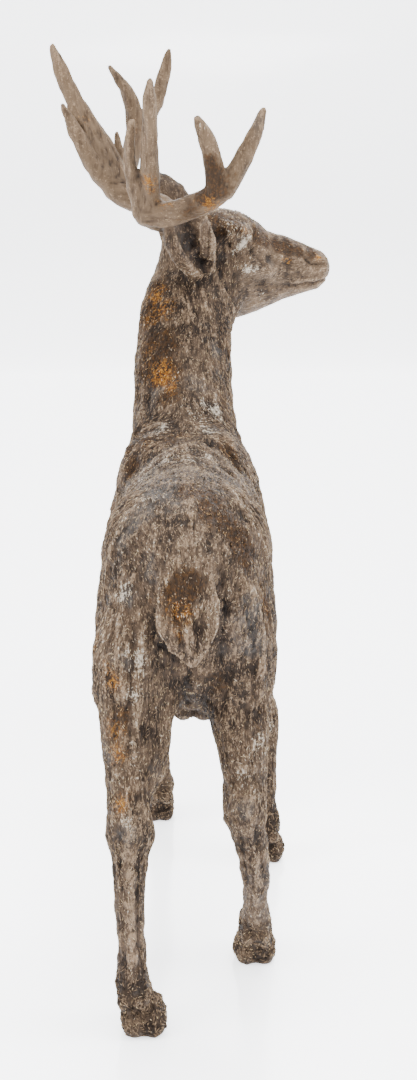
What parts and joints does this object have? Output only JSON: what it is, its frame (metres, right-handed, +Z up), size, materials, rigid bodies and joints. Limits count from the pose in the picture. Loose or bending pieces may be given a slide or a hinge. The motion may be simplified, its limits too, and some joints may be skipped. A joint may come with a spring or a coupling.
{
  "type": "deer figurine",
  "caption": "Standing stag with its head turned to its right and branched antlers, cast in one piece; it stands on four flat soles.",
  "frame": {"origin": "on the ground under the middle of the figure's box", "axes": "+Z up; +Y the way the body faces; +X to the animal's right"},
  "size_m": [0.2722, 0.5536, 0.76],
  "materials": {
    "cast_metal": "weathered brown patina with rust and lime bloom"
  },
  "bodies": {
    "root": {"stag": "cast_metal"}
  },
  "joints": []
}
